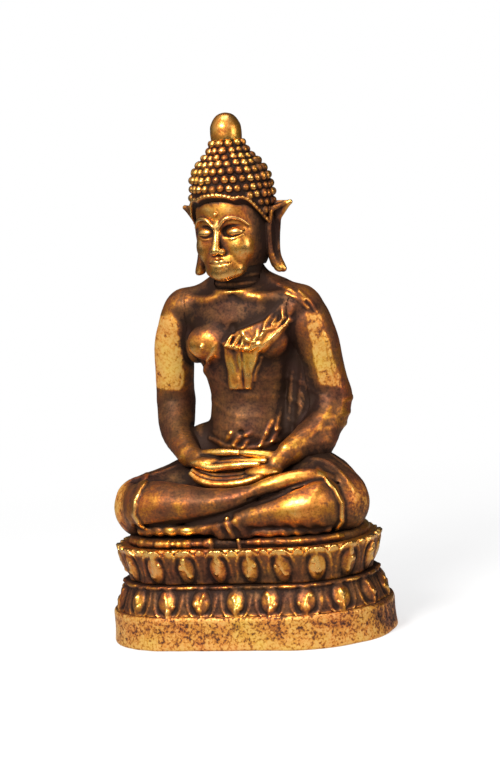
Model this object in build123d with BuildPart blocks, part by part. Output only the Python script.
from build123d import *
import math
import os

os.makedirs("parts", exist_ok=True)

# Seated meditating figure on a double lotus throne, cast in sections and
# drawn together by one tie rod.  Millimetres.  +Z up, the figure faces -Y,
# its own left hand is on +X.  Origin: centre of the plinth's resting face.

# --------------------------------------------------------- shared dimensions
TOTAL_HEIGHT = 148.4
RIGHT, LEFT = -1, 1  # the figure's own sides, as signs of X

# heights of the joints between the sections
PLINTH_TOP = 9.7
LOWER_TOP = 17.8
UPPER_TOP = 26.6
SEAT_TOP = 30.4
WAIST_SEAM = 46.0
NECK_SEAM = 98.6

BODY_Y = 11.4  # the trunk stands behind the middle of the throne
SEAT_Y = 1.0

FIT = 0.10  # radial gap of registers and sockets
THREAD_CLEAR = 0.03  # radial gap of tapped bores

ROD_R = 2.0
ROD_Y = 6.0  # stands between the shins and the trunk
ROD_TOP = 58.0  # end of the tapped bore in the trunk
ROD_END_GAP = 0.4  # rod short of the resting face and of the bore's end
ROD_CLEAR = 0.15  # radial gap of plain holes for the rod and the finial's stud

DOWEL_R = 1.5
DOWEL_CLEAR = 0.04
SEAT_DOWELS = [(-17.0, 4.0), (17.0, 4.0)]
SEAT_DOWEL_HALF = 2.5  # length on each side of the joint
SEAT_DOWEL_HOLE = 2.6  # depth on each side of the joint
WAIST_DOWELS = [(-9.0, BODY_Y + 2), (9.0, BODY_Y + 2)]
WAIST_DOWEL_HALF = 3.0
WAIST_DOWEL_HOLE = 3.2

PIN_R = 0.9
PIN_CLEAR = 0.02
ALONG_Y = (90, 0, 0)  # turns a cylinder's axis from Z to Y

# Throne outlines, rounded rectangles: width, depth, corner radius
PLINTH = (83.4, 50.0, 24.0)
LOWER_FOOT = (77.6, 45.0, 21.6)
LOWER_CAVITY = (62.0, 29.4, 13.6)
WAIST = (71.0, 38.6, 18.6)
RIM = (73.6, 41.2, 19.8)
UPPER_CAVITY = (58.0, 25.6, 12.0)
SEAT = (70.0, 37.0, 18.0)
ROBE_FOLD = (64.0, 32.0, 15.5)
PETALS = 22


# ------------------------------------------------------------------- helpers
def write(part, label):
    part.label = label
    export_step(part, f"parts/{label}.step")


def mirrored(side, point):
    """A point given for the left side, placed on the given side."""
    x, y, z = point
    return (side * x, y, z)


def inset(outline, amount):
    """A rounded rectangle's outline moved inwards."""
    width, depth, radius = outline
    return (width - 2 * amount, depth - 2 * amount, radius - amount)


def limb(start, start_radius, end, end_radius):
    """A tapered round limb with ball ends, added to the open part."""
    axis = Vector(*end) - Vector(*start)
    start_plane = Plane(origin=start, z_dir=tuple(axis))
    with BuildSketch(start_plane) as near:
        Circle(start_radius)
    with BuildSketch(start_plane.offset(axis.length)) as far:
        Circle(end_radius)
    loft(sections=[near.sketch.face(), far.sketch.face()])
    with Locations(start):
        Sphere(start_radius)
    with Locations(end):
        Sphere(end_radius)


def limbs_solid(segments, grow=0):
    """A solid of limbs; grow makes the envelope that its neighbours are cut to."""
    with BuildPart() as made:
        for start, start_radius, end, end_radius in segments:
            limb(start, start_radius + grow, end, end_radius + grow)
    return made.part


def oval_loft(stations, grow=0):
    """A loft through (height, half width, half depth, centre Y), added to the open part."""
    sections = []
    for z, half_width, half_depth, y in stations:
        with BuildSketch(Plane.XY.offset(z)) as section:
            with Locations((0, y)):
                Ellipse(half_width + grow, half_depth + grow)
        sections.append(section.sketch.face())
    loft(sections=sections)


def petal_centres(width, depth, radius):
    """Evenly spaced points on a rounded rectangle, half a pitch off the front's middle."""
    half_x, half_y = width / 2 - radius, depth / 2 - radius
    corners = [(half_x, -half_y), (half_x, half_y), (-half_x, half_y), (-half_x, -half_y)]
    arc = math.pi * radius / 2
    # front, +X, back and -X sides, each followed by its corner
    runs = [2 * half_x, arc, 2 * half_y, arc] * 2
    total = sum(runs)
    centres = []
    for i in range(PETALS):
        along = ((i + 0.5) * total / PETALS + half_x) % total
        k = 0
        while along > runs[k]:
            along -= runs[k]
            k += 1
        side, on_corner = divmod(k, 2)
        angle = math.radians(90 * side - 90)  # direction of the outward normal
        if on_corner:
            x, y = corners[side]
            angle += along / radius
            along = 0
        else:
            x, y = corners[side - 1]
        centres.append((
            x + radius * math.cos(angle) - along * math.sin(angle),
            y + radius * math.sin(angle) + along * math.cos(angle),
        ))
    return centres


def petal_row(outline, z, radius, bottom, top):
    """Ball petals on the open part, which is then trimmed to its tier's height."""
    for x, y in petal_centres(*outline):
        with Locations((x, y, z)):
            Sphere(radius)
    with Locations((0, 0, (bottom + top) / 2)):
        Box(120, 90, top - bottom, mode=Mode.INTERSECT)


def rod_hole(top):
    with Locations((0, ROD_Y, top)):
        Hole(ROD_R + ROD_CLEAR)


def waist_dowel_holes():
    for x, y in WAIST_DOWELS:
        with Locations((x, y, WAIST_SEAM)):
            Cylinder(DOWEL_R + DOWEL_CLEAR, 2 * WAIST_DOWEL_HOLE, mode=Mode.SUBTRACT)


def pin_hole(place, length):
    """A cross pin's hole along Y, centred on the place."""
    with Locations(place):
        Cylinder(PIN_R + PIN_CLEAR, length, rotation=ALONG_Y, mode=Mode.SUBTRACT)


# ---------------------------------------------------- plinth and base plate
PLINTH_DRAFT = 4.5
RECESS_INSET = 2.6
HOLLOW_INSET = 5.4
PLATE_INSET = 2.75
PLATE_Z0, PLATE_T = 4.6, 1.6  # closing plate sits up inside the plinth

with BuildPart() as plinth:
    with BuildSketch(Plane.XY):
        RectangleRounded(*PLINTH)
    extrude(amount=PLINTH_TOP, taper=PLINTH_DRAFT)
    # recess for the closing plate, then the narrower hollow above its ledge
    with BuildSketch(Plane.XY):
        RectangleRounded(*inset(PLINTH, RECESS_INSET))
    extrude(amount=PLATE_Z0 + PLATE_T, mode=Mode.SUBTRACT)
    with BuildSketch(Plane.XY):
        RectangleRounded(*inset(PLINTH, HOLLOW_INSET))
    extrude(amount=PLINTH_TOP, mode=Mode.SUBTRACT)
write(plinth.part, "plinth")

with BuildPart() as base_plate:
    with BuildSketch(Plane.XY.offset(PLATE_Z0)):
        RectangleRounded(*inset(PLINTH, PLATE_INSET))
    extrude(amount=PLATE_T)
    rod_hole(PLATE_Z0 + PLATE_T)
write(base_plate.part, "base_plate")

# --------------------------------------------------------------- lower lotus
LOWER_DRAFT = 14
LOWER_REGISTER_Z = PLINTH_TOP - 2.2
LOWER_DECK_T = 2.6
SOCKET_W, SOCKET_D, SOCKET_DEPTH = 44.0, 26.0, 3.0  # oval, between the tiers

with BuildPart() as lower_lotus:
    with BuildSketch(Plane.XY.offset(PLINTH_TOP)):
        RectangleRounded(*LOWER_FOOT)
    extrude(amount=LOWER_TOP - PLINTH_TOP, taper=LOWER_DRAFT)
    petal_row(
        inset(LOWER_FOOT, 3.0), z=PLINTH_TOP + 2.9, radius=4.35,
        bottom=PLINTH_TOP, top=LOWER_TOP,
    )
    # register that drops into the plinth
    with BuildSketch(Plane.XY.offset(LOWER_REGISTER_Z)):
        RectangleRounded(*inset(PLINTH, HOLLOW_INSET + FIT))
    extrude(amount=PLINTH_TOP - LOWER_REGISTER_Z)
    # cavity under the deck, and the oval socket through the deck
    with BuildSketch(Plane.XY.offset(LOWER_REGISTER_Z)):
        RectangleRounded(*LOWER_CAVITY)
    extrude(amount=LOWER_TOP - LOWER_DECK_T - LOWER_REGISTER_Z, mode=Mode.SUBTRACT)
    with BuildSketch(Plane.XY.offset(LOWER_TOP - SOCKET_DEPTH)):
        SlotOverall(SOCKET_W, SOCKET_D)
    extrude(amount=SOCKET_DEPTH, mode=Mode.SUBTRACT)
write(lower_lotus.part, "lower_lotus")

# --------------------------------------------------------------- upper lotus
UPPER_REGISTER_Z = LOWER_TOP - 2.0
REGISTER_WALL = 3.0
UPPER_CAVITY_Z0 = LOWER_TOP + 2.4
UPPER_CAVITY_Z1 = UPPER_TOP - 3.0

with BuildPart() as upper_lotus:
    with BuildSketch(Plane.XY.offset(LOWER_TOP)):
        RectangleRounded(*inset(WAIST, 0.8))
    with BuildSketch(Plane.XY.offset(UPPER_TOP)):
        RectangleRounded(*RIM)
    loft()
    petal_row(
        inset(RIM, 3.2), z=UPPER_TOP - 3.6, radius=4.3,
        bottom=LOWER_TOP, top=UPPER_TOP,
    )
    # oval register into the tier below
    with BuildSketch(Plane.XY.offset(UPPER_REGISTER_Z)):
        SlotOverall(SOCKET_W - 2 * FIT, SOCKET_D - 2 * FIT)
    extrude(amount=LOWER_TOP - UPPER_REGISTER_Z)
    # cavity under the deck, widening above the register
    with BuildSketch(Plane.XY.offset(UPPER_REGISTER_Z)):
        SlotOverall(SOCKET_W - 2 * REGISTER_WALL, SOCKET_D - 2 * REGISTER_WALL)
    extrude(amount=UPPER_CAVITY_Z1 - UPPER_REGISTER_Z, mode=Mode.SUBTRACT)
    with BuildSketch(Plane.XY.offset(UPPER_CAVITY_Z0)):
        RectangleRounded(*UPPER_CAVITY)
    extrude(amount=UPPER_CAVITY_Z1 - UPPER_CAVITY_Z0, mode=Mode.SUBTRACT)
    rod_hole(UPPER_TOP)
write(upper_lotus.part, "upper_lotus")

# ---------------------------------------------------------------- seat plate
SEAT_EDGE_R = 1.2

with BuildPart() as seat_plate:
    with BuildSketch(Plane.XY.offset(UPPER_TOP)):
        with Locations((0, SEAT_Y)):
            RectangleRounded(*SEAT)
    extrude(amount=SEAT_TOP - UPPER_TOP)
    fillet(seat_plate.edges().group_by(Axis.Z)[-1], SEAT_EDGE_R)
    rod_hole(SEAT_TOP)
    with Locations(*[(x, y, SEAT_TOP) for x, y in SEAT_DOWELS]):
        Hole(DOWEL_R + DOWEL_CLEAR, depth=SEAT_DOWEL_HOLE)
write(seat_plate.part, "seat_plate")

# ---------------------------------------------------------------------- arms
# Joints of the left arm; the right arm mirrors them
SHOULDER, SHOULDER_R = (20.6, 12.2, 91.2), 6.1
ELBOW, ELBOW_R = (23.6, 14.6, 64.8), 5.3
WRIST, WRIST_R = (15.0, -1.2, 51.0), 3.7

# Hands, the right one lying over the left: start, radius, end, radius
HANDS = {
    RIGHT: [
        (mirrored(RIGHT, WRIST), 3.4, (-8.0, -5.0, 50.9), 2.6),
        ((-8.0, -5.0, 50.9), 2.6, (8.5, -8.2, 50.4), 1.7),
        ((-9.0, -1.6, 50.8), 2.4, (8.0, -4.4, 50.6), 1.6),
    ],
    LEFT: [
        (WRIST, 3.4, (9.0, -5.6, 47.0), 2.4),
        ((9.0, -5.6, 47.0), 2.4, (-8.5, -9.8, 46.4), 1.7),
        ((9.0, -2.2, 46.8), 2.2, (-7.0, -5.8, 46.2), 1.6),
    ],
}

TENON_R, TENON_L = 2.6, 7.0
TENON_X = 17.0  # outer end of the shoulder tenon
TENON_END_GAP = 0.3
PIN_X = 13.6
PIN_Z = SHOULDER[2]


def arm_segments(side):
    """Upper arm and forearm."""
    shoulder, elbow, wrist = [mirrored(side, point) for point in (SHOULDER, ELBOW, WRIST)]
    return [(shoulder, SHOULDER_R, elbow, ELBOW_R), (elbow, ELBOW_R, wrist, WRIST_R)]


def shoulder_tenon(side, radius, length):
    """A round tenon from the arm into the trunk, along X."""
    outer_end = (side * TENON_X, SHOULDER[1], SHOULDER[2])
    with BuildPart() as made:
        with BuildSketch(Plane(origin=outer_end, z_dir=(-side, 0, 0))):
            Circle(radius)
        extrude(amount=length)
    return made.part


def whole_arm(side, cutters=()):
    """Arm, hand and tenon in one piece, with the cutters taken away."""
    solids = [
        limbs_solid(arm_segments(side)),
        limbs_solid(HANDS[side]),
        shoulder_tenon(side, TENON_R, TENON_L),
    ]
    with BuildPart() as arm:
        for solid in solids:
            add(solid)
        for cutter in cutters:
            add(cutter, mode=Mode.SUBTRACT)
        pin_hole((side * PIN_X, 12.0, PIN_Z), 20.0)
    return arm.part


# envelopes that the neighbouring pieces are cut to
arm_rooms = [limbs_solid(arm_segments(side), FIT) for side in (RIGHT, LEFT)]
right_hand_room, left_hand_room = [limbs_solid(HANDS[side], FIT) for side in (RIGHT, LEFT)]
shoulder_sockets = [
    shoulder_tenon(side, TENON_R + FIT, TENON_L + TENON_END_GAP) for side in (RIGHT, LEFT)
]

write(whole_arm(RIGHT), "right_arm")
write(whole_arm(LEFT, cutters=[right_hand_room]), "left_arm")

# ----------------------------------------------------------------------- lap
HIP, HIP_R = (13.0, 9.0, 41.0), 10.4
KNEE, KNEE_R = (29.0, -5.2, 38.9), 9.0

# Crossed legs: start, radius, end, radius.  The right shin lies over the
# left one and ends in a foot on the left thigh.
SHINS_AND_FEET = [
    ((-27.5, -9.4, 37.6), 7.6, (3.0, -17.0, 39.8), 4.6),  # right shin
    ((27.5, -9.4, 37.6), 7.6, (-3.0, -15.0, 35.4), 4.6),  # left shin
    ((3.0, -16.4, 40.4), 4.0, (24.0, -10.4, 45.2), 3.4),  # right foot
    ((-3.0, -15.4, 34.6), 3.8, (-24.0, -12.0, 33.2), 2.8),  # left foot
]
BUTTOCKS = [  # height, half width, half depth, centre Y
    (SEAT_TOP, 18.6, 11.6, 9.2),
    (39.0, 20.0, 12.6, 9.4),
    (WAIST_SEAM, 15.9, 11.2, BODY_Y),
]
TRUNK_A, TRUNK_B = 15.0, 10.4  # oval of the trunk where it enters the lap
LAP_HOLLOW_H = 8.8

with BuildPart() as lap:
    for side in (RIGHT, LEFT):
        limb(mirrored(side, HIP), HIP_R, mirrored(side, KNEE), KNEE_R)
    for segment in SHINS_AND_FEET:
        limb(*segment)
    # the middle of the lap, between the hips, and the buttocks' rounded back
    with BuildSketch(Plane.XY.offset(SEAT_TOP)):
        with Locations((0, -3.0)):
            RectangleRounded(34.0, 20.0, 5.0)
    extrude(amount=15.4)
    oval_loft(BUTTOCKS)
    # the fold of robe the legs rest on, which gives the casting a flat foot
    with BuildSketch(Plane.XY.offset(SEAT_TOP)):
        with Locations((0, SEAT_Y)):
            RectangleRounded(*ROBE_FOLD)
    extrude(amount=3.4)
    # everything below the seat's top is cut away
    with Locations((0, 0, SEAT_TOP - 20)):
        Box(140, 100, 40, mode=Mode.SUBTRACT)
    # pocket the trunk stands in
    with BuildSketch(Plane.XY.offset(WAIST_SEAM)):
        with Locations((0, BODY_Y)):
            Ellipse(TRUNK_A + FIT, TRUNK_B + FIT)
    extrude(amount=40, mode=Mode.SUBTRACT)
    # a hollow from below, its roof left thick
    with Locations((0, 4.0, SEAT_TOP + LAP_HOLLOW_H / 2)):
        Box(26, 9, LAP_HOLLOW_H, mode=Mode.SUBTRACT)
    with Locations((0, ROD_Y, SEAT_TOP)):
        Cylinder(ROD_R + ROD_CLEAR, 60, mode=Mode.SUBTRACT)
    with Locations(*[(x, y, SEAT_TOP) for x, y in SEAT_DOWELS]):
        Cylinder(DOWEL_R + DOWEL_CLEAR, 2 * SEAT_DOWEL_HOLE, mode=Mode.SUBTRACT)
    waist_dowel_holes()
    # the arms and hands lie in it
    for room in (*arm_rooms, right_hand_room, left_hand_room):
        add(room, mode=Mode.SUBTRACT)
write(lap.part, "lap")

# --------------------------------------------------------------------- torso
TRUNK = [  # height, half width, half depth, centre Y
    (WAIST_SEAM, TRUNK_A, TRUNK_B, BODY_Y),
    (52.0, 14.4, 10.0, BODY_Y),
    (60.0, 12.0, 8.8, 11.4),
    (67.0, 11.0, 8.3, 11.6),
    (76.0, 13.6, 9.0, 11.8),
    (85.0, 16.6, 9.8, 12.0),
    (92.0, 17.8, 9.2, 12.2),
    (96.4, 13.4, 7.6, 12.0),
    (NECK_SEAM, 6.6, 6.2, 11.4),
]
# outline of the robe's fold and shawl on the left breast, seen from the front: X, Z
SHAWL = [(2.5, 73.5), (10.5, 74.0), (17.5, 88.0), (17.5, 97.0), (7.0, 97.5)]
SHAWL_T = 1.1
SHAWL_FRONT_Y, SHAWL_DEPTH = -4, 14.0  # reach of the cut, backwards from the front
NECK_TENON_R = 3.2
NECK_PIN_Z = NECK_SEAM - 4.4

with BuildPart() as shawl:
    oval_loft(TRUNK, grow=SHAWL_T)
    with BuildSketch(
        Plane(origin=(0, SHAWL_FRONT_Y, 0), x_dir=(1, 0, 0), z_dir=(0, -1, 0))
    ):
        Polygon(*SHAWL, align=None)
    extrude(amount=-SHAWL_DEPTH, mode=Mode.INTERSECT)

with BuildPart() as torso:
    oval_loft(TRUNK)
    # slopes from the neck out over the shoulders
    for side in (RIGHT, LEFT):
        limb((side * 5.0, 11.8, 94.4), 4.0, (side * 17.4, 12.2, 93.2), 4.4)
    add(shawl.part)
    for room in (*arm_rooms, *shoulder_sockets):
        add(room, mode=Mode.SUBTRACT)
    # neck socket and the tie rod's tapped bore
    with Locations((0, BODY_Y, NECK_SEAM - 4.0)):
        Cylinder(NECK_TENON_R + FIT, 8.01, mode=Mode.SUBTRACT)
    with Locations((0, ROD_Y, WAIST_SEAM)):
        Cylinder(ROD_R + THREAD_CLEAR, 2 * (ROD_TOP - WAIST_SEAM), mode=Mode.SUBTRACT)
    # core space of the hollow casting
    with Locations((0, 12.6, 71.0)):
        Cylinder(4.2, 26.0, mode=Mode.SUBTRACT)
    waist_dowel_holes()
    # cross pins through each shoulder tenon and the neck tenon, from the back
    for x in (-PIN_X, PIN_X):
        pin_hole((x, 16.0, PIN_Z), 14.0)
    pin_hole((0, 17.0, NECK_PIN_Z), 14.0)
write(torso.part, "torso")

# ---------------------------------------------------------------------- head
# Built about the neck's axis, facing -Y, then set on the neck with its turn.
HEAD_TURN = 7.0
HEAD_PLACE = Location((0, BODY_Y, 0), (0, 0, -HEAD_TURN))
NECK_R = 5.2
FINIAL_Y = -0.8
FINIAL_SEAM = 140.6
STUD_R = 1.5

# height, half width, half depth, centre Y
FACE = [
    (101.2, 4.2, 4.0, -6.4),
    (104.0, 7.0, 7.0, -4.4),
    (109.0, 9.4, 9.8, -2.2),
    (116.0, 10.6, 11.2, -1.0),
    (124.0, 10.9, 11.6, -0.8),
    (130.0, 9.8, 10.4, -0.8),
]
SKULL_BACK = [(104.0, 7.6, 7.2, 1.0), (111.0, 10.2, 10.4, 0.0)]
HAIR = [
    (103.0, 8.4, 8.0, 1.4),
    (109.0, 10.8, 11.2, 0.0),
    (118.0, 11.7, 12.4, -0.8),
    (127.0, 11.9, 12.5, -0.8),
    (131.0, 11.2, 11.7, -0.8),
    (134.2, 9.4, 9.7, -0.8),
    (136.4, 7.4, 7.6, -0.8),
    (138.6, 5.8, 5.9, -0.8),
    (FINIAL_SEAM, 4.5, 4.5, -0.8),
]

# start, radius, end, radius
FEATURES = [
    ((0, -11.4, 116.4), 0.9, (0, -12.0, 110.6), 1.5),  # nose
    ((-2.6, -10.9, 114.8), 1.0, (-6.4, -9.0, 115.0), 0.9),  # right lid
    ((2.6, -10.9, 114.8), 1.0, (6.4, -9.0, 115.0), 0.9),  # left lid
    ((-1.9, -10.3, 106.6), 0.8, (1.9, -10.3, 106.6), 0.8),  # lips
]
EARS = []
for side in (RIGHT, LEFT):
    ear_middle = (side * 11.0, 2.0, 111.0)
    EARS += [
        (ear_middle, 1.9, (side * 15.1, 3.6, 121.8), 1.4),
        (ear_middle, 1.9, (side * 12.3, 2.2, 104.2), 1.6),
    ]

# The joint between face and hair falls from the hairline towards the back
HAIRLINE_Z, HAIRLINE_SLOPE = 124.8, 39.0
hair_joint = Plane(origin=(0, -12.4, HAIRLINE_Z)).rotated((-HAIRLINE_SLOPE, 0, 0))

ears, ears_room = limbs_solid(EARS), limbs_solid(EARS, FIT)

with BuildPart() as face_form:
    oval_loft(FACE)
    oval_loft(SKULL_BACK)
    with Locations((0, 0, 103.6)):
        Cylinder(NECK_R, 10.0)
    split(bisect_by=hair_joint, keep=Keep.BOTTOM)

with BuildPart() as head:
    add(face_form.part)
    add(ears)
    for segment in FEATURES:
        limb(*segment)
    # tenon down into the trunk
    with BuildSketch(Plane.XY.offset(NECK_SEAM - 7.8)):
        Circle(NECK_TENON_R)
    extrude(amount=9.0)
    # tapped bore for the finial's stud
    with BuildSketch(Plane.XY.offset(108.0)):
        with Locations((0, FINIAL_Y)):
            Circle(STUD_R + THREAD_CLEAR)
    extrude(amount=40, mode=Mode.SUBTRACT)
    # turned back, so that it lines up with the trunk's hole
    pin_hole(Location((0, 0, NECK_PIN_Z), (0, 0, HEAD_TURN)), 20.0)
write(head.part.moved(HEAD_PLACE), "head")

with BuildPart() as hair_cap:
    oval_loft(HAIR)
    split(bisect_by=hair_joint, keep=Keep.TOP)
    add(ears_room, mode=Mode.SUBTRACT)
    # lightening hollow behind the joint face, and the finial's clearance bore
    with Locations((0, -0.8, 124.0)):
        Sphere(6.4, mode=Mode.SUBTRACT)
    with BuildSketch(Plane.XY.offset(100.0)):
        with Locations((0, FINIAL_Y)):
            Circle(STUD_R + ROD_CLEAR)
    extrude(amount=45, mode=Mode.SUBTRACT)
write(hair_cap.part.moved(HEAD_PLACE), "hair_cap")

# -------------------------------------------------------------------- finial
STUD_BOTTOM = 108.6
BUD_R = 4.1  # where the bud meets the hair

with BuildPart() as finial:
    with BuildSketch(Plane.XZ):
        with BuildLine():
            Line((0, STUD_BOTTOM), (STUD_R, STUD_BOTTOM))
            Line((STUD_R, STUD_BOTTOM), (STUD_R, FINIAL_SEAM))
            Line((STUD_R, FINIAL_SEAM), (BUD_R, FINIAL_SEAM))
            Spline((BUD_R, FINIAL_SEAM), (4.3, 143.4), (3.3, 146.6), (0, TOTAL_HEIGHT),
                   tangents=((0.3, 1), (-1, 0)))
            Line((0, TOTAL_HEIGHT), (0, STUD_BOTTOM))
        make_face()
    revolve(axis=Axis.Z)
write(finial.part.moved(HEAD_PLACE * Location((0, FINIAL_Y, 0))), "finial")

# ------------------------------------------------------------------- fixings
ROD_CHAMFER = 0.4
WASHER_R, WASHER_T = 4.6, 0.8
WASHER_Z0 = PLATE_Z0 - WASHER_T
NUT_FLATS, NUT_Z0 = 7.0, 0.7

with BuildPart() as tie_rod:
    with BuildSketch(Plane.XY.offset(ROD_END_GAP)):
        with Locations((0, ROD_Y)):
            Circle(ROD_R)
    extrude(amount=ROD_TOP - 2 * ROD_END_GAP)
    chamfer(tie_rod.faces().sort_by(Axis.Z)[0].edges(), ROD_CHAMFER)
    chamfer(tie_rod.faces().sort_by(Axis.Z)[-1].edges(), ROD_CHAMFER)
write(tie_rod.part, "tie_rod")

with BuildPart() as tie_washer:
    with BuildSketch(Plane.XY.offset(WASHER_Z0)):
        with Locations((0, ROD_Y)):
            Circle(WASHER_R)
            Circle(ROD_R + ROD_CLEAR, mode=Mode.SUBTRACT)
    extrude(amount=WASHER_T)
write(tie_washer.part, "tie_washer")

with BuildPart() as tie_nut:
    with BuildSketch(Plane.XY.offset(NUT_Z0)):
        with Locations((0, ROD_Y)):
            RegularPolygon(NUT_FLATS / 2, 6, major_radius=False)
            Circle(ROD_R + THREAD_CLEAR, mode=Mode.SUBTRACT)
    extrude(amount=WASHER_Z0 - NUT_Z0)
write(tie_nut.part, "tie_nut")


def dowel_pair(places, joint_z, half_length):
    """Two upright dowels, centred on a joint."""
    with BuildPart() as dowels:
        with BuildSketch(Plane.XY.offset(joint_z - half_length)):
            with Locations(*places):
                Circle(DOWEL_R)
        extrude(amount=2 * half_length)
    return dowels.part


write(dowel_pair(SEAT_DOWELS, SEAT_TOP, SEAT_DOWEL_HALF), "seat_dowels")
write(dowel_pair(WAIST_DOWELS, WAIST_SEAM, WAIST_DOWEL_HALF), "waist_dowels")

with BuildPart() as arm_pins:
    for x in (-PIN_X, PIN_X):
        with Locations((x, 13.3, PIN_Z)):
            Cylinder(PIN_R, 8.0, rotation=ALONG_Y)
write(arm_pins.part, "arm_pins")

with BuildPart() as neck_pin:
    with Locations((0, 14.9, NECK_PIN_Z)):
        Cylinder(PIN_R, 9.4, rotation=ALONG_Y)
write(neck_pin.part, "neck_pin")
